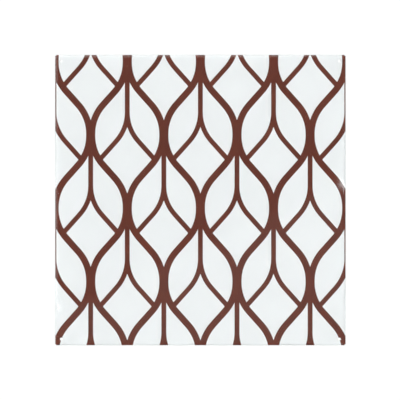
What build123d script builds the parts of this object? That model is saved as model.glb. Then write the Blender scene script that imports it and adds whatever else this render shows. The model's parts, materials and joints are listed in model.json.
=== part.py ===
"""Self-adhesive glass tile: a clear pane, reverse printed with an ogee lattice, on a peel-off adhesive back.

Millimetres. The tile lies flat with its back on z = 0, its front up and the print's top towards +Y.
"""
import math
import os

from build123d import *

# Driving dimensions of the tile
tile_side = 300.0
corner_radius = 1.6
glass_thick = 4.0
front_round = 1.0        # polished rounding of the pane's front edge
back_arris = 0.4         # small chamfer of the pane's back edge
hole_dia = 3.0
hole_inset = 6.4         # from a hole's centre to the two nearest edges
ground_thick = 0.2
lattice_thick = 0.1
adhesive_thick = 0.8
adhesive_inset = 2.0     # from the pane's edge
corner_clip = 16.0       # cut off each corner of the adhesive and the liner, clear of the holes
liner_thick = 0.15

# Driving dimensions of the printed lattice
repeats = 4              # ogees across the tile, and rows of them down it
side_bleed = 1.2         # how far whole repeats run past the pane's sides
end_bleed = 1.7          # the same at its top and bottom, before the pattern is shifted
bold_width = 6.8
fine_width = 5.0
waist_offset = 1.3       # from a waist's axis to the middle of each bold line
waist_straight = 2.4     # upright stretch of a bold line at its waist
lean_ratio = 1.63        # steepest lean of a bold line, over the lean of its chord
fork_drop = 52.6         # from a waist down to where its stem begins to fork
pattern_shift = -8.4     # height of the middle row's waist above the tile's centre

# Heights of the stack, from the floor up
adhesive_base = liner_thick
print_base = adhesive_base + adhesive_thick
glass_base = print_base + ground_thick
lattice_base = glass_base - lattice_thick

# Spacings and margins of the tile
hole_spacing = tile_side - 2 * hole_inset
print_side = tile_side - 2 * back_arris
print_clip = corner_radius - back_arris

# Repeat of the lattice: waists are a repeat apart in a row, and every other row is moved by half of it
repeat = (tile_side + 2 * side_bleed) / repeats
half_repeat = repeat / 2
half_drop = (tile_side + 2 * end_bleed) / repeats

# Bends of the lattice: both bends of a line turn by the same lean
line_swing = half_repeat - 2 * waist_offset
lean = lean_ratio * math.atan2(line_swing, half_drop - waist_straight)
bend_reach = (half_drop - line_swing / math.tan(lean)) / 2
bend_radius = (bend_reach - waist_straight / 2) / math.tan(lean / 2)

# Lines and rows that the tile needs, with a row to spare at its top and bottom
columns = math.ceil(tile_side / 2 / half_repeat)
rows = math.ceil((tile_side / 2 + abs(pattern_shift)) / half_drop) + 1


def corner_holes():
    """Cut the four corner holes out of the open sketch."""
    with GridLocations(hole_spacing, hole_spacing, 2, 2):
        Circle(hole_dia / 2, mode=Mode.SUBTRACT)


def adhesive_outline():
    """The adhesive's outline in the open sketch, which its liner shares."""
    side = tile_side - 2 * adhesive_inset
    sheet = Rectangle(side, side)
    chamfer(sheet.vertices(), length=corner_clip)


def wave_corners(column, lowest, highest):
    """Corners of the bold line that swings between two columns of waists, before they are rounded."""
    corners = []
    for row in range(lowest, highest + 1):
        at_left_waist = (column + row) % 2 == 0
        x = waist_offset if at_left_waist else half_repeat - waist_offset
        y = row * half_drop
        corners.append((column * half_repeat + x, y - bend_reach))
        corners.append((column * half_repeat + x, y + bend_reach))
    return corners


def ogee_wall():
    """Corners of one ogee's right wall, from its bottom waist up to its top waist at the origin."""
    return [(waist_offset, -2 * half_drop), *wave_corners(0, -2, 0)[1:-1], (waist_offset, 0)]


def waists():
    """Places of the waists that ogees hang from."""
    places = []
    for column in range(-columns, columns + 1):
        for row in range(-rows, rows + 1):
            if (column + row) % 2 == 0:
                places.append((column * half_repeat, pattern_shift + row * half_drop))
    return places


# Outline of the print: the pane's flat back, with its round corners clipped
with BuildSketch() as print_outline:
    print_square = Rectangle(print_side, print_side)
    chamfer(print_square.vertices(), length=print_clip)

# Bold lines of the lattice: one wave for each strip, meeting its neighbours at their waists
with BuildSketch() as bold_waves:
    for column in range(-columns, columns):
        with BuildLine():
            FilletPolyline(*wave_corners(column, -rows, rows), radius=bend_radius)
        trace(line_width=bold_width)

# Fine lines of one ogee: a stem from its top waist, forked towards its lower walls
with BuildSketch() as ogee_fork:
    fork_corner = -fork_drop - bend_radius * math.tan(lean / 2)
    branch_end = (repeat * math.sin(lean), fork_corner - repeat * math.cos(lean))
    with BuildLine():
        FilletPolyline((0, 0), (0, fork_corner), branch_end, radius=bend_radius)
    trace(line_width=fine_width)
    mirror(about=Plane.YZ)
    with BuildSketch(mode=Mode.INTERSECT):
        with BuildLine():
            wall = FilletPolyline(*ogee_wall(), radius=bend_radius)
            Line((0, wall.position_at(0).Y), wall @ 0)
            Line((0, wall.position_at(1).Y), wall @ 1)
            mirror(about=Plane.YZ)
        make_face()

# Brown lattice, printed on the glass
with BuildPart() as lattice_print:
    with BuildSketch(Plane.XY.offset(lattice_base)):
        with Locations((0, pattern_shift)):
            add(bold_waves.sketch)
        with Locations(*waists()):
            add(ogee_fork.sketch)
        add(print_outline.sketch, mode=Mode.INTERSECT)
        corner_holes()
    extrude(amount=lattice_thick)

# Pale ground, printed over the lattice
with BuildPart() as ground_print:
    with BuildSketch(Plane.XY.offset(print_base)):
        add(print_outline.sketch)
        corner_holes()
    extrude(amount=ground_thick)
    add(lattice_print.part, mode=Mode.SUBTRACT)

# Clear pane
with BuildPart() as glass_pane:
    with BuildSketch(Plane.XY.offset(glass_base)):
        RectangleRounded(tile_side, tile_side, corner_radius)
        corner_holes()
    extrude(amount=glass_thick)
    front = glass_pane.faces().sort_by(Axis.Z)[-1]
    back = glass_pane.faces().sort_by(Axis.Z)[0]
    chamfer(back.outer_wire().edges(), length=back_arris)
    fillet(front.outer_wire().edges(), radius=front_round)

# Adhesive sheet and its peel-off liner
with BuildPart() as adhesive_sheet:
    with BuildSketch(Plane.XY.offset(adhesive_base)):
        adhesive_outline()
    extrude(amount=adhesive_thick)

with BuildPart() as release_liner:
    with BuildSketch():
        adhesive_outline()
    extrude(amount=liner_thick)

os.makedirs("parts", exist_ok=True)
release_liner.part.label = "release_liner"
export_step(release_liner.part, "parts/release_liner.step")
adhesive_sheet.part.label = "adhesive_sheet"
export_step(adhesive_sheet.part, "parts/adhesive_sheet.step")
ground_print.part.label = "ground_print"
export_step(ground_print.part, "parts/ground_print.step")
lattice_print.part.label = "lattice_print"
export_step(lattice_print.part, "parts/lattice_print.step")
glass_pane.part.label = "glass_pane"
export_step(glass_pane.part, "parts/glass_pane.step")
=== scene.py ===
import json
import math

import bmesh
import bpy
from bpy.props import FloatProperty, FloatVectorProperty, PointerProperty
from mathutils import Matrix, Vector


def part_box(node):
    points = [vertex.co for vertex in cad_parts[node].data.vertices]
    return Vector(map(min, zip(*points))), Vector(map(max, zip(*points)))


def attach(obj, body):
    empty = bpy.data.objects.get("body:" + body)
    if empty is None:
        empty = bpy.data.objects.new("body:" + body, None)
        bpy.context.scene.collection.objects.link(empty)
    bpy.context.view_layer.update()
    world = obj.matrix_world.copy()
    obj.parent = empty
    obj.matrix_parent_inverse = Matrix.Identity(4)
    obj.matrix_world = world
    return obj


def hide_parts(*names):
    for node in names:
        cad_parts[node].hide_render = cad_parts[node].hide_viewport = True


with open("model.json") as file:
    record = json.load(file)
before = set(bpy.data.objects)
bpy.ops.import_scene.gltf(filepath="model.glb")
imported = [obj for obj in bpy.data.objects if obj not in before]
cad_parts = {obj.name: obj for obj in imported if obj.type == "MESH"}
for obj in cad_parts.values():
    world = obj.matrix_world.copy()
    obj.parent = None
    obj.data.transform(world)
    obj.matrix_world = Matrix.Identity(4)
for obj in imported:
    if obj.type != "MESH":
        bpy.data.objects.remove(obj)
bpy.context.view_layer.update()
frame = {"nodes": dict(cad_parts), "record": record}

bl_info = {
    "name": "Self-adhesive glass tile",
    "version": (1, 0, 0),
    "blender": (4, 5, 0),
    "location": "View3D > Sidebar > Glass Tile",
    "description": "Dresses the glass tile: polished pane, printed lattice, adhesive back and studio",
    "category": "Object",
}

# Sizes from the frame, in metres but for the holes, which are in millimetres
PANE_LOW, PANE_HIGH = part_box("glass_pane")
HOLES = next(m["dims"] for m in frame["record"]["mounts"] if m["name"] == "corner_holes")
MM_PER_METRE = 1000

# Values that several sections share
TURN = 2 * math.pi
QUARTER = TURN / 4
WHITE = (1.0, 1.0, 1.0, 1.0)


# Node building

class Socket:
    """An output socket; expressions on it add Math nodes to its tree."""

    def __init__(self, nodes, socket):
        self.nodes = nodes
        self.socket = socket

    def out(self, name):
        """Another output of the same node."""
        return Socket(self.nodes, self.socket.node.outputs[name])

    def math(self, operation, *others):
        """A Math node with this value first."""
        return self.nodes.math(operation, self, *others)

    def __add__(self, other):
        return self.math("ADD", other)

    def __sub__(self, other):
        return self.math("SUBTRACT", other)

    def __mul__(self, other):
        return self.math("MULTIPLY", other)

    def __truediv__(self, other):
        return self.math("DIVIDE", other)

    def __mod__(self, other):
        return self.math("FLOORED_MODULO", other)

    def __neg__(self):
        return self.math("MULTIPLY", -1.0)

    __radd__ = __add__
    __rmul__ = __mul__

    def __rsub__(self, other):
        return self.nodes.math("SUBTRACT", other, self)

    def __rtruediv__(self, other):
        return self.nodes.math("DIVIDE", other, self)

    def held(self):
        """This value held between 0 and 1."""
        return self.math("MAXIMUM", 0.0).math("MINIMUM", 1.0)

    def between(self, low, high):
        """The value that lies this share of the way from low to high."""
        return self * (high - low) + low

    def about(self, middle, spread):
        """A value that strays from its middle by half the spread, for noise between 0 and 1."""
        return (self - 0.5) * spread + middle

    def fade(self, start, end):
        """A smooth step from 0 at start to 1 at end."""
        return self.nodes.add(
            "ShaderNodeMapRange",
            {"interpolation_type": "SMOOTHSTEP"},
            {"Value": self, "From Min": start, "From Max": end},
        )


class Nodes:
    """Adds nodes to one tree."""

    def __init__(self, tree):
        self.tree = tree

    def add(self, kind, settings=None, sockets=None):
        """A node by its type, with settings first and then its sockets' values or links."""
        node = self.tree.nodes.new(kind)
        for name, value in (settings or {}).items():
            setattr(node, name, value)
        for key, value in (sockets or {}).items():
            several = value if isinstance(value, list) else [value]
            for one in several:
                self.feed(self.find(node, key), one)
        usable = [s for s in node.outputs if s.enabled]
        return Socket(self, usable[0]) if usable else node

    def find(self, node, key):
        """An input socket by its place or by its name."""
        if isinstance(key, int):
            return node.inputs[key]
        return next(s for s in node.inputs if s.enabled and s.name == key)

    def feed(self, socket, value):
        """Link or set one input socket."""
        if isinstance(value, Socket):
            self.tree.links.new(value.socket, socket)
        else:
            socket.default_value = value

    def math(self, operation, *values):
        """A Math node."""
        return self.add("ShaderNodeMath", {"operation": operation}, dict(enumerate(values)))

    def vector(self, x, y, z):
        """A vector from three values."""
        return self.add("ShaderNodeCombineXYZ", {}, {"X": x, "Y": y, "Z": z})

    def split(self, vector):
        """The three values of a vector."""
        parts = self.add("ShaderNodeSeparateXYZ", {}, {"Vector": vector})
        return parts, parts.out("Y"), parts.out("Z")

    def mix(self, share, first, second):
        """A colour between two."""
        return self.add(
            "ShaderNodeMix",
            {"data_type": "RGBA"},
            {"Factor": share, "A": first, "B": second},
        )

    def shade(self, share, colour, tones):
        """A colour between two tones of itself."""
        first, second = tones
        return self.mix(share, toned(colour, first), toned(colour, second))

    def noise(self, place, scale, detail=3.0, roughness=0.5):
        """Soft noise between 0 and 1."""
        return self.add(
            "ShaderNodeTexNoise",
            {},
            {"Vector": place, "Scale": scale, "Detail": detail, "Roughness": roughness},
        )

    def relief(self, height, strength, depth):
        """The normal of a fine relief."""
        return self.add(
            "ShaderNodeBump",
            {},
            {"Height": height, "Strength": strength, "Distance": depth},
        )


# Finishes; texture scales are in features per metre, and depths of relief in metres

def toned(colour, factor=1.0):
    """A colour made lighter or darker, with full alpha."""
    return tuple(min(part * factor, 1.0) for part in colour) + (1.0,)


def new_material(name):
    """An empty node material, its tree, its output and its object coordinates."""
    material = bpy.data.materials.new(name)
    material.use_nodes = True
    material.node_tree.nodes.clear()
    nodes = Nodes(material.node_tree)
    output = nodes.add("ShaderNodeOutputMaterial")
    place = nodes.add("ShaderNodeTexCoord").out("Object")
    return material, nodes, output, place


def finish_surface(nodes, output, sockets):
    """Put a Principled surface on the material's output."""
    surface = nodes.add("ShaderNodeBsdfPrincipled", {}, sockets)
    nodes.feed(output.inputs["Surface"], surface)


HAZE_SCALE = 18.0
HAZE_CONTRAST = (0.35, 0.75)
HAZE_RANGE = (0.6, 1.4)


def polished_glass(pane):
    """Clear float glass: a polished front with hardly a haze."""
    material, nodes, output, place = new_material("polished glass")
    haze = nodes.noise(place, HAZE_SCALE, detail=2.0).fade(*HAZE_CONTRAST)
    finish_surface(nodes, output, {
        "Base Color": toned(pane.tint),
        "Roughness": haze.between(*HAZE_RANGE) * pane.front_roughness,
        "IOR": pane.refraction,
        "Transmission Weight": 1.0,
    })
    return material


WHEEL_STRETCH = (1.0, 1.0, 14.0)
WHEEL_MARK_SCALE = 420.0
WHEEL_MARK_SHARE = 0.6
WHEEL_MARK_DEPTH = 0.00004
FROST_SCALE = 3800.0
FROST_CONTRAST = (0.35, 0.68)
FROST_TONES = (0.88, 1.08)
FROST_SPREAD = 0.2


def ground_edge(pane):
    """Machine-ground glass edge: pale green frost with fine marks along the wheel's path."""
    material, nodes, output, place = new_material("ground edge")
    stretch = nodes.add("ShaderNodeMapping", {}, {"Vector": place, "Scale": WHEEL_STRETCH})
    marks = nodes.noise(stretch, WHEEL_MARK_SCALE, detail=4.0, roughness=0.6)
    frost = nodes.noise(place, FROST_SCALE, detail=2.0, roughness=0.6)
    tone = marks * WHEEL_MARK_SHARE + frost * (1 - WHEEL_MARK_SHARE)
    finish_surface(nodes, output, {
        "Base Color": nodes.shade(tone.fade(*FROST_CONTRAST), pane.edge_tint, FROST_TONES),
        "Roughness": frost.about(pane.side_roughness, FROST_SPREAD),
        "IOR": pane.refraction,
        "Transmission Weight": pane.side_clearness,
        "Normal": nodes.relief(marks, strength=0.3, depth=WHEEL_MARK_DEPTH),
    })
    return material


INK_CLOUD_SCALE = 55.0
INK_CLOUD_SHARE = 0.55
INK_GRAIN_SCALE = 1400.0
INK_CONTRAST = (0.3, 0.7)
INK_SPREAD = 0.15
INK_TOOTH = 0.00003
INK_SPECULAR = 0.08


def printing_ink(name, colour, mottle, roughness):
    """Screen-printed ink: a fine mottle of tone and a matt skin with a light tooth."""
    material, nodes, output, place = new_material(name)
    cloud = nodes.noise(place, INK_CLOUD_SCALE)
    grain = nodes.noise(place, INK_GRAIN_SCALE, detail=2.0, roughness=0.6)
    tone = cloud * INK_CLOUD_SHARE + grain * (1 - INK_CLOUD_SHARE)
    finish_surface(nodes, output, {
        "Base Color": nodes.shade(tone.fade(*INK_CONTRAST), colour, (1 - mottle, 1 + mottle)),
        "Roughness": grain.about(roughness, INK_SPREAD),
        "Specular IOR Level": INK_SPECULAR,
        "Normal": nodes.relief(grain, strength=0.15, depth=INK_TOOTH),
    })
    return material


FOAM_CELL_SCALE = 2600.0
FOAM_CELL_EDGE = (0.1, 0.6)
# Lit and shaded tones of the cells: painted light on their middles, painted shade in their hollows
FOAM_CELL_LIGHT_AND_SHADE_TONES = (1.05, 0.86)
FOAM_CELL_DEPTH = 0.0001
FOAM_CLOUD_SCALE = 30.0
FOAM_CLOUD_SHARE = 0.25
FOAM_CLOUD_TONE = 0.8
FOAM_ROUGHNESS = (0.55, 0.75)


def foam_adhesive(colour):
    """Closed-cell acrylic foam: small cells, with painted light on their raised middles and painted
    shade in their hollows.
    """
    material, nodes, output, place = new_material("foam adhesive")
    cells = nodes.add(
        "ShaderNodeTexVoronoi", {"feature": "F1"}, {"Vector": place, "Scale": FOAM_CELL_SCALE}
    )
    hollow = cells.fade(*FOAM_CELL_EDGE)
    cloud = nodes.noise(place, FOAM_CLOUD_SCALE) * FOAM_CLOUD_SHARE
    # Painted light and shade: the cells' raised middles are toned lighter and their hollows darker
    body = nodes.shade(hollow, colour, FOAM_CELL_LIGHT_AND_SHADE_TONES)
    finish_surface(nodes, output, {
        "Base Color": nodes.mix(cloud, body, toned(colour, FOAM_CLOUD_TONE)),
        "Roughness": hollow.between(*FOAM_ROUGHNESS),
        "Normal": nodes.relief(1.0 - hollow, strength=0.35, depth=FOAM_CELL_DEPTH),
    })
    return material


FIBRE_TURN = (0.0, 0.0, 0.3)
FIBRE_STRETCH = (1.0, 7.0, 1.0)
FIBRE_SCALE = 160.0
FIBRE_CONTRAST = (0.35, 0.75)
FIBRE_TONES = (0.95, 1.03)
FIBRE_DEPTH = 0.0001
PAPER_CLOUD_SCALE = 22.0
PAPER_CLOUD_SHARE = 0.3
PAPER_CLOUD_TONE = 0.9
PAPER_ROUGHNESS = (0.38, 0.5)


def liner_paper(colour):
    """Siliconised release paper: long faint fibres under a smooth skin."""
    material, nodes, output, place = new_material("release paper")
    stretch = nodes.add("ShaderNodeMapping", {}, {
        "Vector": place,
        "Rotation": FIBRE_TURN,
        "Scale": FIBRE_STRETCH,
    })
    fibre = nodes.noise(stretch, FIBRE_SCALE, detail=5.0, roughness=0.65).fade(*FIBRE_CONTRAST)
    cloud = nodes.noise(place, PAPER_CLOUD_SCALE, detail=2.0) * PAPER_CLOUD_SHARE
    paper = nodes.shade(fibre, colour, FIBRE_TONES)
    finish_surface(nodes, output, {
        "Base Color": nodes.mix(cloud, paper, toned(colour, PAPER_CLOUD_TONE)),
        "Roughness": fibre.between(*PAPER_ROUGHNESS),
        "Normal": nodes.relief(fibre, strength=0.12, depth=FIBRE_DEPTH),
    })
    return material


def dress(node, material):
    """Give a carried-over CAD node its finish."""
    mesh = frame["nodes"][node].data
    mesh.materials.clear()
    mesh.materials.append(material)


# Shape of the pane: counts of points and rows, and what tells its edges and faces apart
CORNERS = 4
CORNER_POINTS = 13
CUSHION_ROWS = 6
ROUND_ROWS = 10
SIDE_ROW = CUSHION_ROWS + ROUND_ROWS
ARRIS_ROW = SIDE_ROW + 1
BACK_ROW = ARRIS_ROW + 1
HOLE_POINTS = 40
RIM_ROWS = 6
WELD = 2e-6
CREASE = math.radians(30)
GROUND_RISE = -0.4         # upward part of a ground face's normal, and how far it may be off
GROUND_RISE_REACH = 0.5


def pane_sizes(pane):
    """The named inputs of the pane's tree, with their values."""
    return {
        "Side": pane.side,
        "Base": PANE_LOW.z + pane.print_gap,
        "Top": PANE_HIGH.z,
        "Corner Radius": pane.corner_radius,
        "Cushion Width": pane.cushion_width,
        "Cushion Drop": pane.cushion_drop,
        "Round Width": pane.round_width,
        "Round Drop": pane.round_drop,
        "Back Arris": pane.back_arris,
        "Hole Radius": pane.hole_radius,
        "Hole Spacing": pane.hole_spacing,
        "Rim Round": pane.rim_round,
    }


def unit_sheet(nodes, columns, rows):
    """A sheet of faces with side 1, and the count of each point along it and across it."""
    sheet = nodes.add("GeometryNodeMeshGrid", {}, {
        "Size X": 1.0,
        "Size Y": 1.0,
        "Vertices X": columns + 1,
        "Vertices Y": rows + 1,
    })
    x, y, _ = nodes.split(nodes.add("GeometryNodeInputPosition"))
    along = ((x + 0.5) * columns).math("ROUND")
    across = ((y + 0.5) * rows).math("ROUND")
    return sheet, along, across


def placed(nodes, shape, x, y, z):
    """A shape with its points set, shaded smooth."""
    moved = nodes.add("GeometryNodeSetPosition", {}, {
        "Geometry": shape,
        "Position": nodes.vector(x, y, z),
    })
    return nodes.add("GeometryNodeSetShadeSmooth", {}, {"Geometry": moved, "Shade Smooth": True})


def edge_band(nodes, size):
    """The pane's rim: a shallow cushion, the rounding, the upright side and the back arris."""
    sheet, along, across = unit_sheet(nodes, CORNERS * CORNER_POINTS, BACK_ROW + 1)
    corner = (along / CORNER_POINTS).math("FLOOR") % CORNERS
    angle = (corner + (along % CORNER_POINTS) / (CORNER_POINTS - 1)) * QUARTER
    heading = (corner + 0.5) * QUARTER
    x_sign = heading.math("COSINE").math("SIGN")
    y_sign = heading.math("SINE").math("SIGN")

    level = (across / CUSHION_ROWS).held()
    turn = ((across - CUSHION_ROWS) / ROUND_ROWS).held() * QUARTER
    side = (across - SIDE_ROW).held()
    arris = (across - ARRIS_ROW).held()
    back = (across - BACK_ROW).held()

    run = size["Cushion Width"] - size["Round Width"]
    inset = size["Cushion Width"] - run * level - size["Round Width"] * turn.math("SINE")
    lean = 1.0 - inset / size["Cushion Width"]
    drop = size["Cushion Drop"] * lean * lean
    drop = drop + size["Round Drop"] * (1.0 - turn.math("COSINE"))
    front = size["Top"] - drop
    height = front + (size["Base"] + size["Back Arris"] - front) * side
    height = height - size["Back Arris"] * arris
    inset = inset + size["Back Arris"] * arris + size["Corner Radius"] * back

    radius = (size["Corner Radius"] - inset).math("MAXIMUM", 0.0)
    centre = size["Side"] * 0.5 - inset - radius
    x = x_sign * centre + radius * angle.math("COSINE")
    y = y_sign * centre + radius * angle.math("SINE")
    return placed(nodes, sheet, x, y, height)


def hole_band(nodes, size):
    """One drilled hole: a polished rim and the bore."""
    sheet, along, across = unit_sheet(nodes, HOLE_POINTS, RIM_ROWS + 1)
    angle = along * (TURN / HOLE_POINTS)
    turn = (across / RIM_ROWS).held() * QUARTER
    bore = (across - RIM_ROWS).held()
    radius = size["Hole Radius"] + size["Rim Round"] * (1.0 - turn.math("SINE"))
    front = size["Top"] - size["Rim Round"] * (1.0 - turn.math("COSINE"))
    height = front + (size["Base"] - front) * bore
    x = radius * angle.math("COSINE")
    y = radius * angle.math("SINE")
    return placed(nodes, sheet, x, y, height)


def at_holes(nodes, size, shape):
    """A shape repeated at the four holes."""
    corners = nodes.add("GeometryNodeMeshGrid", {}, {
        "Size X": size["Hole Spacing"],
        "Size Y": size["Hole Spacing"],
        "Vertices X": 2,
        "Vertices Y": 2,
    })
    repeated = nodes.add(
        "GeometryNodeInstanceOnPoints", {}, {"Points": corners, "Instance": shape}
    )
    return nodes.add("GeometryNodeRealizeInstances", {}, {"Geometry": repeated})


def flat_face(nodes, size, inset, hole_radius, height):
    """One flat face of the pane, with its four holes left open."""
    width = size["Side"] - inset * 2.0
    outline = nodes.add("GeometryNodeCurvePrimitiveQuadrilateral", {}, {
        "Width": width,
        "Height": width,
    })
    circle = nodes.add("GeometryNodeCurvePrimitiveCircle", {}, {
        "Resolution": HOLE_POINTS,
        "Radius": hole_radius,
    })
    curves = nodes.add("GeometryNodeJoinGeometry", {}, {
        "Geometry": [outline, at_holes(nodes, size, circle)],
    })
    face = nodes.add("GeometryNodeFillCurve", {}, {"Curve": curves})
    raised = nodes.add("GeometryNodeSetPosition", {}, {
        "Geometry": face,
        "Offset": nodes.vector(0.0, 0.0, height),
    })
    return nodes.add("GeometryNodeSetShadeSmooth", {}, {"Geometry": raised, "Shade Smooth": False})


def mitre_edges(nodes, size):
    """1 on the edges where the cushions of two neighbouring sides meet."""
    x, y, _ = nodes.split(nodes.add("GeometryNodeInputPosition"))
    across = x.math("ABSOLUTE")
    diagonal = (across - y.math("ABSOLUTE")).math("ABSOLUTE").math("LESS_THAN", WELD)
    inner = size["Side"] * 0.5 - size["Cushion Width"] - WELD
    outer = size["Side"] * 0.5 - size["Corner Radius"] + WELD
    return diagonal * across.math("GREATER_THAN", inner) * across.math("LESS_THAN", outer)


def ground_faces(nodes, size):
    """1 on the upright sides and the arris, and 0 on the polished faces and in the bores."""
    _, _, rise = nodes.split(nodes.add("GeometryNodeInputNormal"))
    upright = (rise - GROUND_RISE).math("ABSOLUTE").math("LESS_THAN", GROUND_RISE_REACH)
    x, y, _ = nodes.split(nodes.add("GeometryNodeInputPosition"))
    reach = x.math("ABSOLUTE").math("MAXIMUM", y.math("ABSOLUTE"))
    rim = size["Side"] * 0.5 - size["Corner Radius"]
    return upright * reach.math("GREATER_THAN", rim)


def pane_tree(names, glass, edge):
    """The tree that builds the pane from its named sizes."""
    tree = bpy.data.node_groups.new("glass pane", "GeometryNodeTree")
    for name in names:
        tree.interface.new_socket(name=name, in_out="INPUT", socket_type="NodeSocketFloat")
    tree.interface.new_socket(name="Geometry", in_out="OUTPUT", socket_type="NodeSocketGeometry")
    nodes = Nodes(tree)
    inputs = nodes.add("NodeGroupInput")
    size = {name: inputs.out(name) for name in names}
    back_inset = size["Back Arris"] + size["Corner Radius"]
    rim_radius = size["Hole Radius"] + size["Rim Round"]
    pieces = [
        edge_band(nodes, size),
        at_holes(nodes, size, hole_band(nodes, size)),
        flat_face(nodes, size, size["Cushion Width"], rim_radius, size["Top"]),
        flat_face(nodes, size, back_inset, size["Hole Radius"], size["Base"]),
    ]
    joined = nodes.add("GeometryNodeJoinGeometry", {}, {"Geometry": pieces})
    welded = nodes.add("GeometryNodeMergeByDistance", {}, {"Geometry": joined, "Distance": WELD})
    folded = nodes.add("GeometryNodeInputMeshEdgeAngle").math("GREATER_THAN", CREASE)
    crisp = nodes.add("GeometryNodeSetShadeSmooth", {"domain": "EDGE"}, {
        "Geometry": welded,
        "Selection": folded.math("MAXIMUM", mitre_edges(nodes, size)),
        "Shade Smooth": False,
    })
    real = nodes.add("GeometryNodeRealizeInstances", {}, {"Geometry": crisp})
    clear = nodes.add("GeometryNodeSetMaterial", {}, {"Geometry": real, "Material": glass})
    done = nodes.add("GeometryNodeSetMaterial", {}, {
        "Geometry": clear,
        "Selection": ground_faces(nodes, size),
        "Material": edge,
    })
    nodes.add("NodeGroupOutput", {}, {"Geometry": done})
    return tree


def grown_mesh(name, tree, sizes):
    """The plain mesh that a tree gives for these sizes, closed and facing outwards."""
    seed = bpy.data.objects.new(name + " seed", bpy.data.meshes.new(name + " seed"))
    bpy.context.scene.collection.objects.link(seed)
    modifier = seed.modifiers.new(name, "NODES")
    modifier.node_group = tree
    for item in tree.interface.items_tree:
        if item.in_out == "INPUT":
            modifier[item.identifier] = float(sizes[item.name])
    evaluated = seed.evaluated_get(bpy.context.evaluated_depsgraph_get())
    mesh = bpy.data.meshes.new_from_object(evaluated)
    mesh.name = name
    bpy.data.objects.remove(seed)
    work = bmesh.new()
    work.from_mesh(mesh)
    bmesh.ops.recalc_face_normals(work, faces=work.faces[:])
    open_edges = sum(1 for edge in work.edges if len(edge.link_faces) != 2)
    work.to_mesh(mesh)
    work.free()
    if open_edges or not mesh.polygons:
        raise RuntimeError(f"{name}: {open_edges} open edges, {len(mesh.polygons)} faces")
    return mesh


# Stage: the floor, the light and the camera
PIXELS = 400
SENSOR_WIDTH = 36.0        # in millimetres
VIEW_DEPTH = 100.0
FLOOR_GAP = 0.0001
FLOOR_CLOUD_SCALE = 3.0
FLOOR_TONES = (0.99, 1.0)

# Sides of the sky that the broad lights are on, and where they start and end, off the zenith
TOP_LEFT = (-math.sqrt(0.5), math.sqrt(0.5))
LOWER_RIGHT = (math.sqrt(0.5), -math.sqrt(0.5))
DOME_RISE = (math.radians(15), math.radians(40))
VEIL_RISE = (math.radians(4.5), math.radians(40))
VEIL_FALL = (math.radians(21), math.radians(31))
KEY_RISE = (math.radians(28), math.radians(42))
KEY_FALL = (math.radians(48), math.radians(62))
ARCH_ENDS = (math.cos(math.radians(64)), math.cos(math.radians(50)))
LEAST = 0.001              # keeps a divisor above nought

# Panel that the front mirrors: the slant of its edge, and how far off the tile's middle that edge shows
PANEL_SLANT = math.radians(25)
PANEL_EDGE = 0.0441
PANEL_BLUR = 0.001
PANEL_END = (0.3, 0.5)

# Thin lamps: heights of their glints above the tile's middle, and their own edges as tangents
GLINT_RIGHT = 0.0166
GLINT_LEFT = -0.1115
LAMP_START = (0.0588, 0.0632)
LAMP_END = (0.25, 0.35)
LAMP_SIDE = (0.0002, 0.0028)
LEFT_LAMP_SHARE = 0.45


def background_rays(nodes):
    """1 for rays from the camera, a mirror or glass, and 0 for the light on surfaces."""
    path = nodes.add("ShaderNodeLightPath")
    seen = path.out("Is Camera Ray").math("MAXIMUM", path.out("Is Glossy Ray"))
    return seen.math("MAXIMUM", path.out("Is Transmission Ray"))


def lay_floor(scene, stage):
    """A plain white floor that keeps a faint shadow."""
    material, nodes, output, place = new_material("white floor")
    cloud = nodes.noise(place, FLOOR_CLOUD_SCALE, detail=2.0)
    white = nodes.shade(cloud, stage.floor, FLOOR_TONES)
    matt = nodes.add("ShaderNodeBsdfDiffuse", {}, {"Color": white})
    glow = nodes.add("ShaderNodeEmission", {}, {"Color": WHITE, "Strength": 1.0})
    share = background_rays(nodes) * stage.floor_glow
    surface = nodes.add("ShaderNodeMixShader", {}, {0: share, 1: matt, 2: glow})
    nodes.feed(output.inputs["Surface"], surface)
    mesh = bpy.data.meshes.new("studio_floor")
    half = stage.floor_width / 2
    corners = [(-half, -half), (half, -half), (half, half), (-half, half)]
    mesh.from_pydata([(x, y, -FLOOR_GAP) for x, y in corners], [], [(0, 1, 2, 3)])
    mesh.materials.append(material)
    floor = bpy.data.objects.new("studio_floor", mesh)
    scene.collection.objects.link(floor)


def arch_light(x, y, off, side, rise, fall):
    """A broad arch of light on one side of the sky, between two angles off the zenith."""
    reach = (x * x + y * y).math("SQRT").math("MAXIMUM", LEAST)
    facing = (x * side[0] + y * side[1]) / reach
    return off.fade(*rise) * (1.0 - off.fade(*fall)) * facing.fade(*ARCH_ENDS)


def sheen_panel(right, ahead, off, camera_height):
    """A faint panel overhead, whose slanting edge shows across the front."""
    edge = PANEL_EDGE / camera_height
    across = right * math.sin(PANEL_SLANT) - ahead * math.cos(PANEL_SLANT)
    return across.fade(edge - PANEL_BLUR, edge + PANEL_BLUR) * (1.0 - off.fade(*PANEL_END))


def thin_lamp(outwards, ahead, height):
    """A thin lamp far to one side, by the tangents of its angles out and ahead."""
    near = outwards.fade(*LAMP_START)
    far = 1.0 - outwards.fade(*LAMP_END)
    across = 1.0 - (ahead - height).math("ABSOLUTE").fade(*LAMP_SIDE)
    return near * far * across


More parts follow.
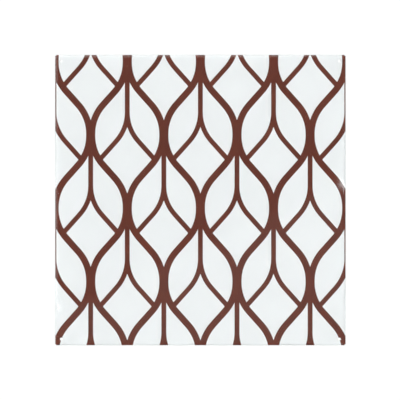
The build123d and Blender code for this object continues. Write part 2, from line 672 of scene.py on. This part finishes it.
def light_sky(scene, stage):
    """A dome with a dim zenith, lights for the glass to mirror, and a main light that it doesn't."""
    world = bpy.data.worlds.new("studio light")
    world.use_nodes = True
    world.node_tree.nodes.clear()
    nodes = Nodes(world.node_tree)
    x, y, z = nodes.split(nodes.add("ShaderNodeTexCoord").out("Generated"))
    up = z.math("MAXIMUM", LEAST)
    right = x / up
    ahead = y / up
    off = z.math("ARCCOSINE")
    path = nodes.add("ShaderNodeLightPath")
    mirrored = path.out("Is Glossy Ray") * (1.0 - path.out("Diffuse Depth").held())

    dome = off.fade(*DOME_RISE).between(stage.zenith, stage.sky)
    veil = arch_light(x, y, off, TOP_LEFT, VEIL_RISE, VEIL_FALL) * stage.veil
    key = arch_light(x, y, off, LOWER_RIGHT, KEY_RISE, KEY_FALL) * stage.key
    soft = (key + stage.fill) * (1.0 - mirrored)
    panel = sheen_panel(right, ahead, off, stage.camera_height) * stage.sheen
    right_lamp = thin_lamp(right, ahead, GLINT_RIGHT / stage.camera_height)
    left_lamp = thin_lamp(-right, ahead, GLINT_LEFT / stage.camera_height)
    lamps = (right_lamp + left_lamp * LEFT_LAMP_SHARE) * stage.lamps
    light = dome + veil + soft + panel + lamps

    strength = light + (1.0 - light) * path.out("Is Camera Ray")
    glow = nodes.add("ShaderNodeBackground", {}, {"Color": WHITE, "Strength": strength})
    nodes.add("ShaderNodeOutputWorld", {}, {"Surface": glow})
    scene.world = world


def hang_camera(scene, stage):
    """A long lens straight above the tile."""
    data = bpy.data.cameras.new("overhead camera")
    data.sensor_width = SENSOR_WIDTH
    data.lens = SENSOR_WIDTH * stage.camera_height / stage.view_width
    data.clip_end = VIEW_DEPTH
    camera = bpy.data.objects.new("overhead camera", data)
    pixel = stage.view_width / PIXELS
    camera.location = Vector((
        -stage.centre_right * pixel,
        stage.centre_down * pixel,
        PANE_HIGH.z + stage.camera_height,
    ))
    scene.collection.objects.link(camera)
    scene.camera = camera


# Settings, operators and panel of the add-on

class GlassTilePane(bpy.types.PropertyGroup):
    """Sizes and finish of the glass pane."""

    side: FloatProperty(
        name="Side", description="Width and length of the pane",
        default=PANE_HIGH.x - PANE_LOW.x, subtype="DISTANCE", unit="LENGTH",
    )
    print_gap: FloatProperty(
        name="Print gap", description="Air between the print and the pane's back",
        default=0.00002, subtype="DISTANCE", unit="LENGTH",
    )
    corner_radius: FloatProperty(
        name="Corner radius", description="Rounding of the four corners, seen from above",
        default=0.0016, subtype="DISTANCE", unit="LENGTH",
    )
    cushion_width: FloatProperty(
        name="Cushion width", description="How far in from the edge the front begins to fall",
        default=0.004, subtype="DISTANCE", unit="LENGTH",
    )
    cushion_drop: FloatProperty(
        name="Cushion drop", description="How far the front has fallen at the edge",
        default=0.0003, subtype="DISTANCE", unit="LENGTH",
    )
    round_width: FloatProperty(
        name="Rounding width", description="Width of the polished rounding of the front edge",
        default=0.00075, subtype="DISTANCE", unit="LENGTH",
    )
    round_drop: FloatProperty(
        name="Rounding drop", description="Height of the polished rounding of the front edge",
        default=0.0003, subtype="DISTANCE", unit="LENGTH",
    )
    back_arris: FloatProperty(
        name="Back arris", description="Small chamfer of the back edge",
        default=0.0004, subtype="DISTANCE", unit="LENGTH",
    )
    hole_radius: FloatProperty(
        name="Hole radius", description="Radius of the corner holes",
        default=HOLES["hole_r_mm"] / MM_PER_METRE, subtype="DISTANCE", unit="LENGTH",
    )
    hole_spacing: FloatProperty(
        name="Hole spacing", description="Distance between neighbouring holes",
        default=HOLES["spacing_x_mm"] / MM_PER_METRE, subtype="DISTANCE", unit="LENGTH",
    )
    rim_round: FloatProperty(
        name="Rim rounding", description="Polished rounding of the holes' front rims",
        default=0.0006, subtype="DISTANCE", unit="LENGTH",
    )
    tint: FloatVectorProperty(
        name="Tint", description="Colour that the glass lets through",
        default=(0.985, 1.0, 0.995), subtype="COLOR", size=3, min=0.0, max=1.0,
    )
    refraction: FloatProperty(
        name="Refraction", description="Index of refraction of the glass", default=1.52, min=1.0,
    )
    front_roughness: FloatProperty(
        name="Front roughness", description="Roughness of the polished front",
        default=0.02, subtype="FACTOR", min=0.0, max=1.0,
    )
    side_roughness: FloatProperty(
        name="Side roughness", description="Roughness of the ground sides",
        default=0.42, subtype="FACTOR", min=0.0, max=1.0,
    )
    side_clearness: FloatProperty(
        name="Side clearness", description="Share of light that goes through the ground sides",
        default=0.88, subtype="FACTOR", min=0.0, max=1.0,
    )
    edge_tint: FloatVectorProperty(
        name="Edge tint", description="Pale green of the ground sides",
        default=(0.88, 0.99, 0.94), subtype="COLOR", size=3, min=0.0, max=1.0,
    )


class GlassTilePrint(bpy.types.PropertyGroup):
    """Colours and finish of the reverse print and the back."""

    ground: FloatVectorProperty(
        name="Ground", description="Pale ink of the ground",
        default=(0.887, 0.892, 0.906), subtype="COLOR", size=3, min=0.0, max=1.0,
    )
    ground_mottle: FloatProperty(
        name="Ground mottle", description="How far the pale ink strays in tone",
        default=0.006, subtype="FACTOR", min=0.0, max=1.0,
    )
    ground_roughness: FloatProperty(
        name="Ground roughness", description="Roughness of the pale ink",
        default=0.55, subtype="FACTOR", min=0.0, max=1.0,
    )
    lattice: FloatVectorProperty(
        name="Lattice", description="Brown ink of the lattice",
        default=(0.144, 0.0362, 0.0221), subtype="COLOR", size=3, min=0.0, max=1.0,
    )
    lattice_mottle: FloatProperty(
        name="Lattice mottle", description="How far the brown ink strays in tone",
        default=0.035, subtype="FACTOR", min=0.0, max=1.0,
    )
    lattice_roughness: FloatProperty(
        name="Lattice roughness", description="Roughness of the brown ink",
        default=0.5, subtype="FACTOR", min=0.0, max=1.0,
    )
    adhesive: FloatVectorProperty(
        name="Adhesive", description="Off-white foam of the adhesive sheet",
        default=(0.76, 0.75, 0.70), subtype="COLOR", size=3, min=0.0, max=1.0,
    )
    liner: FloatVectorProperty(
        name="Liner", description="Release paper of the peel-off liner",
        default=(0.80, 0.77, 0.68), subtype="COLOR", size=3, min=0.0, max=1.0,
    )


class GlassTileStage(bpy.types.PropertyGroup):
    """Camera, light and floor."""

    camera_height: FloatProperty(
        name="Camera height", description="From the pane's front up to the camera",
        default=2.4, subtype="DISTANCE", unit="LENGTH",
    )
    view_width: FloatProperty(
        name="View width", description="Width of the picture at the pane's front",
        default=0.41296, subtype="DISTANCE", unit="LENGTH",
    )
    centre_right: FloatProperty(
        name="Centre right", description="Pixels from the picture's middle right to the tile's",
        default=0.4,
    )
    centre_down: FloatProperty(
        name="Centre down", description="Pixels from the picture's middle down to the tile's",
        default=0.1,
    )
    sky: FloatProperty(
        name="Sky", description="Even light from all round", default=0.5, min=0.0,
    )
    zenith: FloatProperty(
        name="Zenith", description="Dim opening round the camera", default=0.06, min=0.0,
    )
    veil: FloatProperty(
        name="Veil", description="Arch of light mirrored along the left and top edges",
        default=8.8, min=0.0,
    )
    key: FloatProperty(
        name="Key", description="Broad main light from the lower right, which nothing mirrors",
        default=4.8, min=0.0,
    )
    fill: FloatProperty(
        name="Fill", description="Even light from all round, which nothing mirrors",
        default=0.8, min=0.0,
    )
    sheen: FloatProperty(
        name="Sheen", description="Faint panel mirrored in the lower right of the front",
        default=0.13, min=0.0,
    )
    lamps: FloatProperty(
        name="Thin lamps", description="Two thin lamps that glint on the side edges",
        default=9.0, min=0.0,
    )
    floor_width: FloatProperty(
        name="Floor width", description="Width and length of the floor",
        default=8.0, subtype="DISTANCE", unit="LENGTH",
    )
    floor: FloatVectorProperty(
        name="Floor", description="White of the floor",
        default=(0.92, 0.92, 0.92), subtype="COLOR", size=3, min=0.0, max=1.0,
    )
    floor_glow: FloatProperty(
        name="Floor glow", description="Share of plain white in what is seen of the floor",
        default=0.94, subtype="FACTOR", min=0.0, max=1.0,
    )


class GLASSTILE_OT_pane(bpy.types.Operator):
    """Build the polished pane in place of its plain solid"""

    bl_idname = "glasstile.pane"
    bl_label = "Glass pane"

    def execute(self, context):
        pane = context.scene.glasstile_pane
        sizes = pane_sizes(pane)
        tree = pane_tree(sizes, polished_glass(pane), ground_edge(pane))
        piece = bpy.data.objects.new("polished_pane", grown_mesh("polished_pane", tree, sizes))
        context.scene.collection.objects.link(piece)
        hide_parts("glass_pane")
        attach(piece, "root")
        return {"FINISHED"}


class GLASSTILE_OT_print(bpy.types.Operator):
    """Ink the pale ground and the brown lattice"""

    bl_idname = "glasstile.print"
    bl_label = "Reverse print"

    def execute(self, context):
        inks = context.scene.glasstile_print
        ground = printing_ink(
            "ground ink", inks.ground, inks.ground_mottle, inks.ground_roughness
        )
        lattice = printing_ink(
            "lattice ink", inks.lattice, inks.lattice_mottle, inks.lattice_roughness
        )
        dress("ground_print", ground)
        dress("lattice_print", lattice)
        return {"FINISHED"}


class GLASSTILE_OT_back(bpy.types.Operator):
    """Finish the adhesive sheet and its release paper"""

    bl_idname = "glasstile.back"
    bl_label = "Adhesive back"

    def execute(self, context):
        colours = context.scene.glasstile_print
        dress("adhesive_sheet", foam_adhesive(colours.adhesive))
        dress("release_liner", liner_paper(colours.liner))
        return {"FINISHED"}


class GLASSTILE_OT_stage(bpy.types.Operator):
    """Set the floor, the light and the camera"""

    bl_idname = "glasstile.stage"
    bl_label = "Stage"

    def execute(self, context):
        stage = context.scene.glasstile_stage
        context.scene.view_settings.view_transform = "Standard"
        lay_floor(context.scene, stage)
        light_sky(context.scene, stage)
        hang_camera(context.scene, stage)
        return {"FINISHED"}


class GLASSTILE_PT_sidebar(bpy.types.Panel):
    """Sizes, colours and buttons of the glass tile"""

    bl_idname = "GLASSTILE_PT_sidebar"
    bl_label = "Glass Tile"
    bl_space_type = "VIEW_3D"
    bl_region_type = "UI"
    bl_category = "Glass Tile"

    def draw(self, context):
        for group, operators in PANEL_ROWS:
            box = self.layout.box()
            settings = getattr(context.scene, group)
            for name in settings.__annotations__:
                box.prop(settings, name)
            for operator in operators:
                box.operator(operator)


PANEL_ROWS = (
    ("glasstile_pane", ("glasstile.pane",)),
    ("glasstile_print", ("glasstile.print", "glasstile.back")),
    ("glasstile_stage", ("glasstile.stage",)),
)
GROUPS = {
    "glasstile_pane": GlassTilePane,
    "glasstile_print": GlassTilePrint,
    "glasstile_stage": GlassTileStage,
}
CLASSES = (
    *GROUPS.values(),
    GLASSTILE_OT_pane,
    GLASSTILE_OT_print,
    GLASSTILE_OT_back,
    GLASSTILE_OT_stage,
    GLASSTILE_PT_sidebar,
)


def register():
    """Register the classes and put their settings on the scene."""
    for one in CLASSES:
        bpy.utils.register_class(one)
    for name, group in GROUPS.items():
        setattr(bpy.types.Scene, name, PointerProperty(type=group))


def unregister():
    """Take the settings and the classes off again."""
    for name in GROUPS:
        delattr(bpy.types.Scene, name)
    for one in reversed(CLASSES):
        bpy.utils.unregister_class(one)


def main():
    """Build the tile and its stage."""
    register()
    bpy.ops.glasstile.pane()
    bpy.ops.glasstile.print()
    bpy.ops.glasstile.back()
    bpy.ops.glasstile.stage()


if __name__ == "__main__":
    main()
